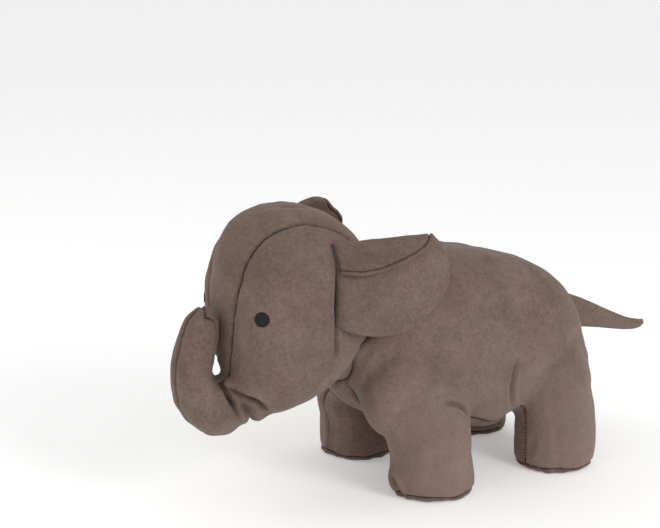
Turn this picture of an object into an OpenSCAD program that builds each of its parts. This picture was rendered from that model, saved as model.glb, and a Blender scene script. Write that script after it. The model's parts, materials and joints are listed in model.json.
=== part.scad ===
// Stuffed elephant: sewn panels of suede-like fabric over stuffing, standing on four round soles.
// The head nods on the neck, the curled trunk flexes open, the folded ears lift and the flat tail wags.
// Millimetres. +X points toward the trunk, +Y toward the elephant's left side, +Z up.

/* [Torso] */
// Length of the stuffed torso
torso_l = 212; // [202:1:218]
// Width of the torso at its widest
torso_w = 130; // [122:1:134]
// Height of the torso at its tallest
torso_h = 120; // [114:1:124]

/* [Legs] */
// Distance between the middles of the front and hind feet
leg_spacing = 104; // [100:1:108]
// Distance between the middles of the left and right feet
leg_track = 96; // [92:1:98]
// Diameter of the round sole of a foot
foot_d = 54; // [50:1:56]

/* [Head] */
// Length of the head from nape to face
head_l = 111; // [108:1:113]
// Width of the head across the cheeks
head_w = 106; // [100:1:110]
// Height of the head
head_h = 136; // [130:1:140]
// Half the width of the strip that runs over the crown
crown_half = 22; // [16:1:26]
// Diameter of an embroidered eye
eye_d = 10; // [7:0.5:13]

/* [Trunk] */
// Thickness of the trunk where it leaves the face
trunk_root_d = 39; // [36:1:41]
// Width of the trunk where it leaves the face
trunk_root_w = 46; // [42:1:50]

/* [Ears] */
// Length of an ear from its root seam to its rear edge
ear_l = 76; // [66:1:80]
// Height of the ear's root seam
ear_root_h = 51; // [46:1:54]
// Height of the ear's fabric above the root's foot, before its top is folded over
ear_cut_h = 76; // [68:1:80]
// Extra height at which the right ear folds, so that it stands taller than the left one
right_ear_lift = 8; // [0:1:10]
// Thickness of one ear, both layers together
ear_t = 3; // [2:0.2:3.4]

/* [Tail] */
// Length of the tail from the rump to its tip
tail_l = 97; // [80:1:110]
// Height of the tail at its root
tail_root_h = 26; // [20:1:28]
// Thickness of the tail
tail_t = 10; // [7:0.5:12]

/* [Fabric] */
// Thickness of the fabric
fabric_t = 1.2; // [0.8:0.1:1.6]
// Free space between neighbouring panels
seam_gap = 0.3; // [0.2:0.05:0.5]
// Free space between two pieces that move against each other
joint_gap = 0.5; // [0.4:0.1:0.8]

/* [Hidden] */

// Shades of the fabric, the stuffing and the eye thread
suede = [0.45, 0.36, 0.31];
suede_dark = [0.39, 0.31, 0.27];
wadding = [0.93, 0.92, 0.88];
thread = [0.1, 0.09, 0.09];

// The profiles below are drawn about the point on the ground midway between the four feet.
// The part's origin is on the ground in the middle of the overall length, this far ahead of it.
origin_x = 21.3;
// How far ahead of that midpoint each leg is set
legs_ahead = 1;
// Thickness of a sole, and the height at which the leg's fabric and stuffing begin
sole_t = 1.5;
leg_foot_z = sole_t + 0.2;
// Size of the blocks and bars that cut the shapes, well past the whole object
reach = 260;
// Depth of the stuffing's surface below the outside of the fabric
stuffing_depth = fabric_t + seam_gap;

// Each profile row is a cross-section:
// centre x, centre y, centre z, tilt, reach up, reach down, reach to the side, squareness.
X = 0;
Y = 1;
Z = 2;
TILT = 3;
UP = 4;
DOWN = 5;
SIDE = 6;
POWER = 7;

// Torso, from rump to chest, drawn 212 long, 130 wide and 120 high
torso_kx = torso_l / 212;
torso_ky = torso_w / 130;
torso_kz = torso_h / 120;
torso_rows = [for (r = [
    [-96, 80, 4, 4, 4, 2],
    [-93, 80, 17, 22, 23, 2.1],
    [-85, 81, 29, 35, 37, 2.3],
    [-69, 86, 43, 46, 50, 2.5],
    [-40, 91, 54, 54, 61, 2.9],
    [0, 96, 59, 59, 65, 3],
    [40, 100, 60, 61, 61, 3],
    [70, 105, 55, 60, 55, 2.6],
    [92, 108, 47, 54, 50, 2.4],
    [104, 107, 38, 41, 43, 2.3],
    [112, 105, 26, 28, 31, 2.1],
    [116, 104, 5, 5, 6, 2]
]) [r[0] * torso_kx, 0, r[1], 0, r[2] * torso_kz, r[3] * torso_kz, r[4] * torso_ky, r[5]]];

// Head, from nape to face, drawn 111 long, 106 wide and 136 high
head_rear_x = 80;
head_kx = head_l / 111;
head_ky = head_w / 106;
head_kz = head_h / 136;
head_rows = [for (r = [
    [0, 132, 6, 6, 6, 2],
    [4, 132, 28, 26, 28, 2.1],
    [16, 132, 45, 43, 42, 2.2],
    [36, 132, 60, 54, 51, 2.3],
    [60, 131, 67, 67, 53, 2.3],
    [82, 129, 65, 70, 49, 2.3],
    [98, 126, 56, 66, 39, 2.2],
    [108, 120, 40, 54, 26, 2.1],
    [111, 114, 9, 12, 7, 2]
]) [head_rear_x + r[0] * head_kx, 0, r[1], 0, r[2] * head_kz, r[3] * head_kz, r[4] * head_ky, r[5]]];

// Trunk, from inside the head round the curl to the tip, drawn 39 thick and 46 wide at the root
trunk_kr = trunk_root_d / 39;
trunk_ky = trunk_root_w / 46;
trunk_rows = [for (r = [
    [140, 88, -25, 10, 10, 10],
    [144, 86, -25, 24, 24, 24],
    [160, 80, -20, 22, 24, 24],
    [177, 73, -5, 19, 20, 23],
    [194, 71, 22, 18, 19, 20],
    [206, 82, 60, 16, 17, 17],
    [209, 100, 88, 14.5, 14.5, 15],
    [206, 118, 99, 12.5, 12.5, 13],
    [203, 130, 102, 9.5, 9.5, 10],
    [201, 137, 102, 2, 2, 2]
]) [r[0], 0, r[1], r[2], r[3] * trunk_kr, r[4] * trunk_kr, r[5] * trunk_ky, 2]];

// Leg, from the sole up into the torso: inward lean, height, reach back, reach forward, reach aside
foot_k = foot_d / 54;
front_leg_rows = [
    [0, 0, 27, 27, 27],
    [0, 2, 28.4, 28.4, 28.4],
    [0, 12, 28.4, 28.6, 28.4],
    [1, 30, 27, 31, 28],
    [4, 50, 27, 39, 27],
    [12, 75, 28, 46, 27],
    [22, 100, 18, 36, 16]
];
hind_leg_rows = [
    [0, 0, 27, 27, 27],
    [0, 2, 28.4, 28.4, 28.4],
    [0, 12, 29.5, 28.4, 28.4],
    [1, 30, 31, 27.5, 28],
    [4, 50, 33, 30, 27],
    [10, 75, 35, 32, 27],
    [20, 100, 30, 24, 18]
];

// Tail, from the upturned tip to the rump seam, drawn 97 long, 26 high and 10 thick
tail_root_x = -84;
tail_kx = tail_l / 97;
tail_kz = tail_root_h / 26;
tail_ky = tail_t / 10;
tail_rows = [for (r = [
    [-97, 76, -15, 1, 1, 1],
    [-90, 74.5, -5, 4, 4, 3],
    [-76, 76.5, 12, 5.5, 5.5, 4],
    [-51, 84.5, 15, 8.5, 8.5, 4.5],
    [-26, 92.5, 15, 12, 12, 5],
    [-2, 99.5, 15, 13, 13, 4],
    [0, 99.5, 15, 4, 4, 2]
]) [tail_root_x + r[0] * tail_kx, 0, r[1], r[2], r[3] * tail_kz, r[4] * tail_kz, r[5] * tail_ky, 2]];

// Points around a cross-section, and smooth steps between two rows
torso_sides = 26;
head_sides = 26;
trunk_sides = 16;
leg_sides = 16;
tail_sides = 10;
row_steps = 2;

// Hinge of the neck: its axis lies across the body, and the head's rear turns in the torso's hollow
neck_x = 107;
neck_z = 117;
neck_r = 54;

// Hinge of the trunk, across the root of the curl
trunk_hinge_x = 180;
trunk_hinge_z = 73;
trunk_hinge_r = 20.5;
// Half the width of the slot in the face that the trunk's root turns in
trunk_slot_half = trunk_root_w / 2 + 1.5;
// Plane between the face and the raised end of the trunk
face_front_x = 191.8;

// Hinge of the tail, along the rump's slope and just behind it
tail_hinge_x = -97.8;
tail_hinge_z = 99;
tail_hinge_lean = 15;
tail_hinge_r = 4.3;

// Lowest point of the head's space ahead of the neck
throat_z = 40;

// Height of the seam between a side panel and the belly gusset, and its distance from the middle
belly_seam_z = 52;
belly_seam_y = leg_track / 2 + 2;
// Height of the crown strip's lower edge where it starts at the nape
nape_z = neck_z + 10;
// Half the width of the strip on the inside of the trunk's curl
trunk_strip_half = 8;

// Eye, on the cheek
eye_at = [179.5, 37.8, 133.7];
eye_turn = 40;
// The stitches lie between these heights above the fabric
eye_base = 0.1;
eye_lift = 0.7;

// Ear: foot of the root seam, lean of the seam to its top, and how the lean grows
ear_foot = [135, 56.2, 127];
ear_lean = [-4, -13];
ear_lean_power = 3;
// How far the ear swings out behind the seam's foot and top, and over what length
ear_swing_foot = 6;
ear_swing_top = 14;
ear_swing_run = 50;
// Shape of the folded top: radius of the fold, and how far the flap stands out as it hangs
ear_fold_r = ear_t / 2 + 0.7;
ear_flap_lean = 0.12;
// Half the space between the two layers of an ear
ear_layer_gap = 0.1;
// Steps along an ear and across it
ear_steps = 7;
ear_strip_steps = 14;

function catmull(a, b, c, d, t) =
    0.5 * (2 * b + (c - a) * t + (2 * a - 5 * b + 4 * c - d) * t * t
    + (3 * b - a - 3 * c + d) * t * t * t);

// Rows with smooth rows added between them
function smooth_rows(rows) = let (n = len(rows) - 1) [
    for (i = [0 : n - 1], k = [0 : row_steps - 1])
        catmull(rows[max(i - 1, 0)], rows[i], rows[i + 1], rows[min(i + 2, n)], k / row_steps),
    rows[n]
];

function centre(row) = [row[X], row[Y], row[Z]];
function unit(v) = v / norm(v);

// Rows moved inward by a depth measured square to the surface
function inset_rows(rows, depth) = let (n = len(rows) - 1) [
    for (i = [0 : n]) let (
        before = rows[max(i - 1, 0)],
        after = rows[min(i + 1, n)],
        row = rows[i],
        slope = (after[SIDE] - before[SIDE]) / norm(centre(after) - centre(before)),
        cut = depth * sqrt(1 + slope * slope),
        ahead = i == 0 ? depth * unit(centre(rows[1]) - centre(row))
            : i == n ? depth * unit(centre(rows[n - 1]) - centre(row)) : [0, 0, 0],
        c = centre(row) + ahead
    ) [c[0], c[1], c[2], row[TILT], max(row[UP] - cut, 0.3), max(row[DOWN] - cut, 0.3),
        max(row[SIDE] - cut, 0.3), row[POWER]]
];

function signed_power(v, p) = sign(v) * pow(abs(v), p);

// Points of one cross-section
function ring(row, sides) = [
    for (j = [0 : sides - 1]) let (
        angle = 360 * j / sides,
        p = 2 / row[POWER],
        s = signed_power(sin(angle), p),
        u = (s > 0 ? row[UP] : row[DOWN]) * s,
        v = row[SIDE] * signed_power(cos(angle), p)
    ) [row[X] - sin(row[TILT]) * u, row[Y] + v, row[Z] + cos(row[TILT]) * u]
];

// Closed solid through smoothed rows, moved inward by a depth
module loft(rows, sides, depth = 0) {
    fine = inset_rows(smooth_rows(rows), depth);
    n = len(fine);
    points = [for (row = fine) each ring(row, sides)];
    ends = [centre(fine[0]), centre(fine[n - 1])];
    walls = [
        for (i = [0 : n - 2], j = [0 : sides - 1]) let (
            a = i * sides + j,
            b = i * sides + (j + 1) % sides
        ) each [[a, a + sides, b], [b, a + sides, b + sides]]
    ];
    caps = [
        for (j = [0 : sides - 1]) let (k = (j + 1) % sides, last = (n - 1) * sides)
            each [[n * sides, j, k], [n * sides + 1, last + k, last + j]]
    ];
    polyhedron(points = concat(points, ends), faces = concat(walls, caps), convexity = 8);
}

// One closed surface round everything in it
module one_surface() {
    resize([0, 0, 0]) children();
}

// Box given by its lowest and highest corners
module block(low, high) {
    translate(low) cube(high - low);
}

// Round bar across the body
module cross_bar(x, z, r) {
    translate([x, reach / 2, z]) rotate([90, 0, 0]) cylinder(r = r, h = reach, $fn = 60);
}

// Space drawn from the side, across the whole width
module side_outline(points) {
    translate([0, reach / 2, 0]) rotate([90, 0, 0]) linear_extrude(reach) polygon(points);
}

function leg_rows(rows, front, left) = [
    for (r = rows) [
        (front ? 1 : -1) * leg_spacing / 2 + legs_ahead, (left ? 1 : -1) * (leg_track / 2 - r[0]), r[1], 90,
        r[2] * foot_k, r[3] * foot_k, r[4] * foot_k, 2
    ]
];

module leg(front, left, depth = 0) {
    loft(leg_rows(front ? front_leg_rows : hind_leg_rows, front, left), leg_sides, depth);
}

module torso_loft(depth = 0) {
    loft(torso_rows, torso_sides, depth);
}

// Torso and legs
module torso_shape(depth = 0) {
    torso_loft(depth);
    for (front = [true, false], left = [true, false]) leg(front, left, depth);
}

module trunk_loft(depth = 0) {
    loft(trunk_rows, trunk_sides, depth);
}

// The space in which the head moves, grown by a margin
module head_space(margin = 0) {
    cross_bar(neck_x, neck_z, neck_r + margin);
    block([neck_x - margin, -reach / 2, throat_z], [reach, reach / 2, reach]);
}

// The space in which the trunk moves, grown by a margin
module trunk_space(margin = 0) {
    half_width = trunk_slot_half + margin;
    intersection() {
        cross_bar(trunk_hinge_x, trunk_hinge_z, trunk_hinge_r + margin);
        block([0, -half_width, 0], [reach, half_width, reach]);
    }
    block(
        [trunk_hinge_x - margin, -half_width, 0],
        [reach, half_width, trunk_hinge_z + trunk_hinge_r + margin]);
    block([face_front_x - margin, -reach / 2, 0], [reach, reach / 2, reach]);
}

// Fabric of the torso and legs above the soles, open at the neck
module torso_fabric() {
    difference() {
        torso_shape();
        torso_shape(fabric_t);
        head_space(joint_gap);
        block([-reach, -reach, -1], [reach, reach, leg_foot_z]);
    }
}

// Everything that the belly gusset covers, grown by a margin
module gusset_space(margin = 0) {
    block(
        [-reach, -belly_seam_y - margin, -1],
        [reach, belly_seam_y + margin, belly_seam_z + margin]);
}

module torso_side(left) {
    color(suede) one_surface() difference() {
        torso_fabric();
        gusset_space(seam_gap);
        block([-reach, left ? -reach : -seam_gap / 2, -1], [reach, left ? seam_gap / 2 : reach, reach]);
    }
}

module belly_gusset() {
    color(suede_dark) one_surface() intersection() {
        torso_fabric();
        gusset_space();
    }
}

module sole(front, left) {
    foot = leg_rows(front_leg_rows, front, left)[0];
    color(suede_dark) translate([foot[X], foot[Y], 0]) cylinder(d = foot_d, h = sole_t, $fn = 48);
}

module torso_stuffing() {
    color(wadding) one_surface() difference() {
        torso_loft(stuffing_depth);
        head_space(joint_gap + fabric_t);
    }
}

module leg_stuffing(front, left) {
    color(wadding) one_surface() difference() {
        leg(front, left, stuffing_depth);
        torso_loft(stuffing_depth - seam_gap);
        head_space(joint_gap + fabric_t);
        block([-reach, -reach, -1], [reach, reach, leg_foot_z]);
    }
}

// Everything in the head's space: the head itself and the plug that fills the neck
module head_and_neck(depth = 0) {
    loft(head_rows, head_sides, depth);
    trunk_loft(depth);
    intersection() {
        torso_loft(depth);
        cross_bar(neck_x, neck_z, neck_r - depth);
    }
}

module head_fabric() {
    difference() {
        head_and_neck();
        head_and_neck(fabric_t);
        trunk_space(joint_gap);
    }
}

// The strip over the crown, tapering to the nape, grown by a margin
module crown_space(margin = 0) {
    w = crown_half + margin;
    intersection() {
        linear_extrude(reach) polygon([
            [neck_x - 60, 2], [neck_x - 15, w * 0.3], [neck_x + 5, w * 0.7], [neck_x + 40, w],
            [reach, w], [reach, -w], [neck_x + 40, -w], [neck_x + 5, -w * 0.7],
            [neck_x - 15, -w * 0.3], [neck_x - 60, -2]
        ]);
        side_outline([
            [neck_x - 60, nape_z - margin], [neck_x + 45, nape_z - margin],
            [trunk_hinge_x - margin, trunk_hinge_z - margin], [reach, trunk_hinge_z - margin],
            [reach, reach], [neck_x - 60, reach]
        ]);
    }
}

module head_side(left) {
    color(suede) one_surface() difference() {
        head_fabric();
        crown_space(seam_gap);
        block([-reach, left ? -reach : -seam_gap / 2, -1], [reach, left ? seam_gap / 2 : reach, reach]);
    }
}

module head_gusset() {
    color(suede) one_surface() intersection() {
        head_fabric();
        crown_space();
    }
}

module head_stuffing() {
    color(wadding) one_surface() difference() {
        head_and_neck(stuffing_depth);
        trunk_space(joint_gap + fabric_t);
    }
}

module eye(left) {
    color(thread) one_surface() intersection() {
        difference() {
            loft(head_rows, head_sides, -eye_lift);
            loft(head_rows, head_sides, -eye_base);
        }
        mirror([0, left ? 0 : 1, 0]) translate(eye_at) rotate([-90, 0, -eye_turn])
            cylinder(d = eye_d, h = eye_d, center = true, $fn = 32);
    }
}

// The trunk ahead of its hinge
module trunk_part(depth = 0) {
    intersection() {
        trunk_loft(depth);
        trunk_space(-depth);
    }
}

module trunk_fabric() {
    difference() {
        trunk_part();
        trunk_part(fabric_t);
    }
}

// The strip on the inside of the curl and along the top of the root, grown by a margin
module curl_space(margin = 0) {
    intersection() {
        block([0, -trunk_strip_half - margin, 0], [reach, trunk_strip_half + margin, reach]);
        side_outline([
            [trunk_hinge_x - 30, trunk_hinge_z + 8 - margin], [201 + margin, trunk_hinge_z + 8 - margin],
            [203 + margin, 100], [200 + margin, 130], [198 + margin, reach], [trunk_hinge_x - 30, reach]
        ]);
    }
}

module trunk_side(left) {
    color(suede) one_surface() difference() {
        trunk_fabric();
        curl_space(seam_gap);
        block([-reach, left ? -reach : -seam_gap / 2, -1], [reach, left ? seam_gap / 2 : reach, reach]);
    }
}

module trunk_gusset() {
    color(suede_dark) one_surface() intersection() {
        trunk_fabric();
        curl_space();
    }
}

module trunk_stuffing() {
    color(wadding) one_surface() trunk_part(stuffing_depth);
}

// Lower and upper edge of an ear's cut shape, by the share of its length behind the root
ear_low_edge = [[0, 0], [0.2, 0.13], [0.42, 0.18], [0.65, 0.13], [0.85, -0.05], [0.96, -0.22], [1, -0.32]];
ear_high_edge = [[0, 1], [0.26, 1.01], [0.52, 0.97], [0.75, 0.88], [0.86, 0.75], [0.96, 0.57], [1, 0.38]];

// A point of an ear, by the share of its length, height along the cloth, fold height and layer depth
function ear_point(along, high, fold_z, layer) = let (
    past = high - fold_z,
    turn = min(max(past / ear_fold_r * 180 / PI, 0), 180),
    down = max(past - PI * ear_fold_r, 0),
    up = past <= 0 ? high : fold_z + ear_fold_r * sin(turn) - down,
    out = past <= 0 ? 0 : ear_fold_r * (1 - cos(turn)) + ear_flap_lean * down,
    share = min(max(up / ear_root_h, 0), 1.2),
    run = along * ear_l,
    swing_end = ear_swing_foot + (ear_swing_top - ear_swing_foot) * share,
    swing = swing_end * sin(90 * min(run / ear_swing_run, 1))
) [
    ear_foot[0] + ear_lean[0] * share - run,
    ear_foot[1] + ear_lean[1] * pow(share, ear_lean_power) + swing + out + layer * cos(turn),
    ear_foot[2] + up - layer * sin(turn)
];

// One layer of an ear between two depths
module ear_layer(fold_z, inner, outer) {
    n = ear_steps;
    m = ear_strip_steps;
    points = [
        for (layer = [inner, outer], i = [0 : n], j = [0 : m]) let (
            along = sin(90 * i / n),
            low = -ear_root_h * lookup(along, ear_low_edge),
            high = ear_cut_h * lookup(along, ear_high_edge)
        ) ear_point(along, low + (high - low) * j / m, fold_z, layer)
    ];
    count = (n + 1) * (m + 1);
    function at(layer, i, j) = layer * count + i * (m + 1) + j;
    function quad(a, b, c, d) = [[a, c, b], [a, d, c]];
    faces = [
        for (i = [0 : n - 1], j = [0 : m - 1]) each concat(
            quad(at(0, i, j), at(0, i, j + 1), at(0, i + 1, j + 1), at(0, i + 1, j)),
            quad(at(1, i, j), at(1, i + 1, j), at(1, i + 1, j + 1), at(1, i, j + 1))),
        for (i = [0 : n - 1]) each concat(
            quad(at(0, i, 0), at(0, i + 1, 0), at(1, i + 1, 0), at(1, i, 0)),
            quad(at(0, i, m), at(1, i, m), at(1, i + 1, m), at(0, i + 1, m))),
        for (j = [0 : m - 1]) each concat(
            quad(at(0, 0, j), at(1, 0, j), at(1, 0, j + 1), at(0, 0, j + 1)),
            quad(at(0, n, j), at(0, n, j + 1), at(1, n, j + 1), at(1, n, j)))
    ];
    polyhedron(points = points, faces = faces, convexity = 8);
}

module ear(left, outer_layer) {
    fold_z = left ? ear_root_h : ear_root_h + right_ear_lift;
    color(outer_layer ? suede : suede_dark) mirror([0, left ? 0 : 1, 0])
        ear_layer(
            fold_z,
            outer_layer ? ear_layer_gap : -ear_t / 2,
            outer_layer ? ear_t / 2 : -ear_layer_gap);
}

// The tail behind the rump, with a round end that turns about the line of its root seam
module tail_part(depth = 0) {
    intersection() {
        loft(tail_rows, tail_sides, depth);
        translate([tail_hinge_x, 0, tail_hinge_z]) rotate([0, tail_hinge_lean, 0]) {
            block([-reach, -reach, -reach], [0, reach, reach]);
            cylinder(r = tail_hinge_r * tail_ky - depth, h = reach, center = true, $fn = 24);
        }
    }
}

module tail_side(left) {
    color(suede) one_surface() difference() {
        tail_part();
        tail_part(fabric_t);
        block([-reach, left ? -reach : -seam_gap / 2, 0], [reach, left ? seam_gap / 2 : reach, reach]);
    }
}

module tail_stuffing() {
    color(wadding) one_surface() tail_part(stuffing_depth);
}

// Everything is drawn about the middle of the feet and set back to the part's origin
module placed() {
    translate([-origin_x, 0, 0]) children();
}

placed() torso_side(true);  // torso_side_left
placed() torso_side(false);  // torso_side_right
placed() belly_gusset();
placed() sole(true, true);  // sole_front_left
placed() sole(true, false);  // sole_front_right
placed() sole(false, true);  // sole_hind_left
placed() sole(false, false);  // sole_hind_right
placed() torso_stuffing();
placed() leg_stuffing(true, true);  // leg_stuffing_front_left
placed() leg_stuffing(true, false);  // leg_stuffing_front_right
placed() leg_stuffing(false, true);  // leg_stuffing_hind_left
placed() leg_stuffing(false, false);  // leg_stuffing_hind_right
placed() head_side(true);  // head_side_left
placed() head_side(false);  // head_side_right
placed() head_gusset();
placed() head_stuffing();
placed() eye(true);  // eye_left
placed() eye(false);  // eye_right
placed() trunk_side(true);  // trunk_side_left
placed() trunk_side(false);  // trunk_side_right
placed() trunk_gusset();
placed() trunk_stuffing();
placed() ear(true, true);  // ear_left_outer
placed() ear(true, false);  // ear_left_lining
placed() ear(false, true);  // ear_right_outer
placed() ear(false, false);  // ear_right_lining
placed() tail_side(true);  // tail_side_left
placed() tail_side(false);  // tail_side_right
placed() tail_stuffing();
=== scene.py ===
import itertools
import json
import math

import bmesh
import bpy
import numpy as np
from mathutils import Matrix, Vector, kdtree
from mathutils.bvhtree import BVHTree


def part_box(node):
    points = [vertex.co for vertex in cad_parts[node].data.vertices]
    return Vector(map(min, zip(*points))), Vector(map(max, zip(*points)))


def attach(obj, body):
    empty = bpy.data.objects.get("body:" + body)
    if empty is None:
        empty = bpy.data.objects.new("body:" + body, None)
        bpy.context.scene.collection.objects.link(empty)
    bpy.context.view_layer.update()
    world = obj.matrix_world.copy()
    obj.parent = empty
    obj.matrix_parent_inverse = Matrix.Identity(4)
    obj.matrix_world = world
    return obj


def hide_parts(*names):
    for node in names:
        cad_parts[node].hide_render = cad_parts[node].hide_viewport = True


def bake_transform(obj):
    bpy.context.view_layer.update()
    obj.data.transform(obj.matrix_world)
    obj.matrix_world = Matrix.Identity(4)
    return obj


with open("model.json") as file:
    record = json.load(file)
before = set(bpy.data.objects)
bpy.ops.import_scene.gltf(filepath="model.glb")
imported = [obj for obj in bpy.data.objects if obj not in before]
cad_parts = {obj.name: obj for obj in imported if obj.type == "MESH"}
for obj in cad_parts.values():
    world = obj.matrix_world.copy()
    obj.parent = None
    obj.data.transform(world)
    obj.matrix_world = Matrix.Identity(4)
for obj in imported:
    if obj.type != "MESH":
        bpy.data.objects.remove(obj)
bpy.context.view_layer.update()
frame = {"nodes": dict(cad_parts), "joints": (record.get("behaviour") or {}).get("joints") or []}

# --- Drawing frame: millimetres, about the middle of the feet ---
MM = 0.001
LEGS_AHEAD = 1.0


def box_mm(node):
    low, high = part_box(node)
    return np.array(low) / MM, np.array(high) / MM


def middle(node):
    low, high = box_mm(node)
    return (low + high) / 2


FEET_X = (middle("sole_front_left")[0] + middle("sole_hind_left")[0]) / 2 - LEGS_AHEAD
FEET = np.array([FEET_X, 0.0, 0.0])
LEG_Y = middle("sole_front_left")[1]
# From the middle of the feet to the middle of each sole
SOLE_REACH = 52.0


def joint_at(name):
    joint = next(j for j in frame["joints"] if j["name"] == name)
    return np.array(joint["pos_m"], float) / MM - FEET


def to_frame(points):
    return (np.asarray(points, float) + FEET) * MM


TRUNK_HINGE = joint_at("trunk_flex")
EAR_FOOT = joint_at("ear_left_flap")

# --- Small vector helpers ---


def unit(v):
    length = np.linalg.norm(v, axis=-1, keepdims=True)
    return v / np.maximum(length, 1e-9)


def ease(t):
    t = np.clip(t, 0.0, 1.0)
    return t * t * (3.0 - 2.0 * t)


def bell(distance, width):
    """1 at no distance, and falling off smoothly about a width away."""
    return np.exp(-((distance / width) ** 2))


def near_to(points, centre, reach):
    """1 at the centre, and falling off smoothly about a reach away in each direction."""
    return np.exp(-(((points - np.array(centre)) / np.array(reach)) ** 2).sum(axis=1))


def lattice(i, j, k, seed):
    """A repeatable value from 0 to 1 for each point of a grid."""
    n = i * 73856093 ^ j * 19349663 ^ k * 83492791 ^ seed * 2654435761
    n = (n ^ (n >> 13)) * 1274126177 & 0xFFFFFFFF
    n = (n ^ (n >> 16)) & 0xFFFFFF
    return n / float(0xFFFFFF)


def value_noise(points, size, seed=0):
    """Smooth noise from -1 to 1 whose features are about `size` across."""
    p = np.asarray(points, float) / size + 512.0
    cell = np.floor(p).astype(np.int64)
    part = p - cell
    part = part * part * part * (part * (part * 6.0 - 15.0) + 10.0)
    total = np.zeros(len(p))
    for corner in itertools.product((0, 1), repeat=3):
        weight = np.prod(np.where(corner, part, 1 - part), axis=1)
        total += weight * lattice(*(cell + corner).T, seed)
    return total * 2.0 - 1.0


# --- Skin: a mesh held as arrays ---


def read_all(items, field, width=1, kind=np.int32):
    out = np.zeros(len(items) * width, kind)
    items.foreach_get(field, out)
    return out


class Skin:
    def __init__(self, co, loops, counts):
        self.co = np.asarray(co, float)
        self.loops = np.asarray(loops, np.int64)
        self.counts = np.asarray(counts, np.int64)
        self.starts = np.concatenate([[0], np.cumsum(self.counts)[:-1]])
        self._edges = None

    @classmethod
    def from_mesh(cls, mesh):
        """Reads a Blender mesh in the row frame, and returns it in drawing millimetres."""
        co = read_all(mesh.vertices, "co", 3, float).reshape(-1, 3)
        loops = read_all(mesh.loops, "vertex_index")
        counts = read_all(mesh.polygons, "loop_total")
        return cls(co / MM - FEET, loops, counts)

    def faces(self):
        return [f.tolist() for f in np.split(self.loops, self.starts[1:])]

    def to_mesh(self, name):
        mesh = bpy.data.meshes.new(name)
        mesh.from_pydata(to_frame(self.co).tolist(), [], self.faces())
        mesh.update()
        return mesh

    def next_loop(self):
        nxt = np.arange(1, len(self.loops) + 1)
        ends = self.starts + self.counts - 1
        nxt[ends] = self.starts
        return nxt

    def edges(self):
        if self._edges is None:
            a = self.loops
            b = self.loops[self.next_loop()]
            low, high = np.minimum(a, b), np.maximum(a, b)
            key = np.unique(low * len(self.co) + high)
            self._edges = np.stack([key // len(self.co), key % len(self.co)], 1)
        return self._edges

    def face_normals(self):
        a = self.co[self.loops]
        b = self.co[self.loops[self.next_loop()]]
        return np.add.reduceat(np.cross(a, b), self.starts, axis=0) / 2.0

    def normals(self):
        face = np.repeat(self.face_normals(), self.counts, axis=0)
        out = np.zeros_like(self.co)
        for k in range(3):
            out[:, k] = np.bincount(self.loops, face[:, k], len(self.co))
        return unit(out)

    def spread(self, values, rounds=1, factor=0.5):
        """Values smoothed over the mesh, each point towards the mean of its neighbours."""
        pairs = self.edges()
        a = np.concatenate([pairs[:, 0], pairs[:, 1]])
        b = np.concatenate([pairs[:, 1], pairs[:, 0]])
        degree = np.maximum(np.bincount(a, minlength=len(self.co)), 1)
        for _ in range(rounds):
            mean = np.stack(
                [np.bincount(a, values[b, k], len(self.co)) for k in range(values.shape[1])], 1
            ) / degree[:, None]
            values = values + factor * (mean - values)
        return values

    def relax(self, rounds, where=None):
        """Smoothing that keeps the volume: a step in, and a slightly larger step out."""
        for _ in range(rounds):
            for factor in (0.5, -0.52):
                moved = self.spread(self.co, 1, factor)
                if where is not None:
                    moved = self.co + (moved - self.co) * where[:, None]
                self.co = moved


def grid_quads(first, rows, width, wraps=False):
    """Faces of a grid of points, row after row. One that wraps joins its last column to its first."""
    quads = []
    for row in range(rows - 1):
        low, high = first + row * width, first + (row + 1) * width
        for b in range(width if wraps else width - 1):
            c = (b + 1) % width
            quads.append((low + b, low + c, high + c, high + b))
    return quads


def placed(name, data):
    """A new object in the scene."""
    obj = bpy.data.objects.new(name, data)
    bpy.context.scene.collection.objects.link(obj)
    return obj


def evaluated(obj):
    """The object's mesh with its modifiers applied."""
    graph = bpy.context.evaluated_depsgraph_get()
    graph.update()
    return bpy.data.meshes.new_from_object(obj.evaluated_get(graph))


def through_modifier(skin, name, kind, **settings):
    """The skin after one Blender modifier."""
    obj = placed(name, skin.to_mesh(name))
    modifier = obj.modifiers.new(kind.lower(), kind)
    for key, value in settings.items():
        setattr(modifier, key, value)
    result = Skin.from_mesh(evaluated(obj))
    bpy.data.objects.remove(obj)
    return result


def remeshed(skin, name, voxel):
    """The skin built again as one closed surface of even squares."""
    return through_modifier(skin, name, "REMESH", mode="VOXEL", voxel_size=voxel * MM)


def merged(*skins):
    """Several skins held as one."""
    base = np.cumsum([0] + [len(s.co) for s in skins])
    return Skin(
        np.concatenate([s.co for s in skins]),
        np.concatenate([s.loops + n for s, n in zip(skins, base)]),
        np.concatenate([s.counts for s in skins]),
    )


def joined_nodes(*nodes):
    """One skin holding several CAD nodes."""
    return merged(*[Skin.from_mesh(frame["nodes"][node].data) for node in nodes])


# --- Trunk: worked on while it is swung a little open, clear of the face ---
OPEN_ANGLE = math.radians(7.0)
# The middle and the half width of the border between face and trunk: heights, and the value at each
TRUNK_BORDER = ([40, 73, 95], [180, 186, 191.8])
TRUNK_BORDER_HALF = ([50, 73, 88, 97], [20, 14, 6, 1.6])


def turned(points, angle):
    """Points turned about the trunk's hinge; a positive angle opens the curl."""
    x = points[:, 0] - TRUNK_HINGE[0]
    z = points[:, 2] - TRUNK_HINGE[2]
    c, s = math.cos(angle), math.sin(angle)
    return np.stack([TRUNK_HINGE[0] + x * c + z * s, points[:, 1], TRUNK_HINGE[2] - x * s + z * c], 1)


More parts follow.
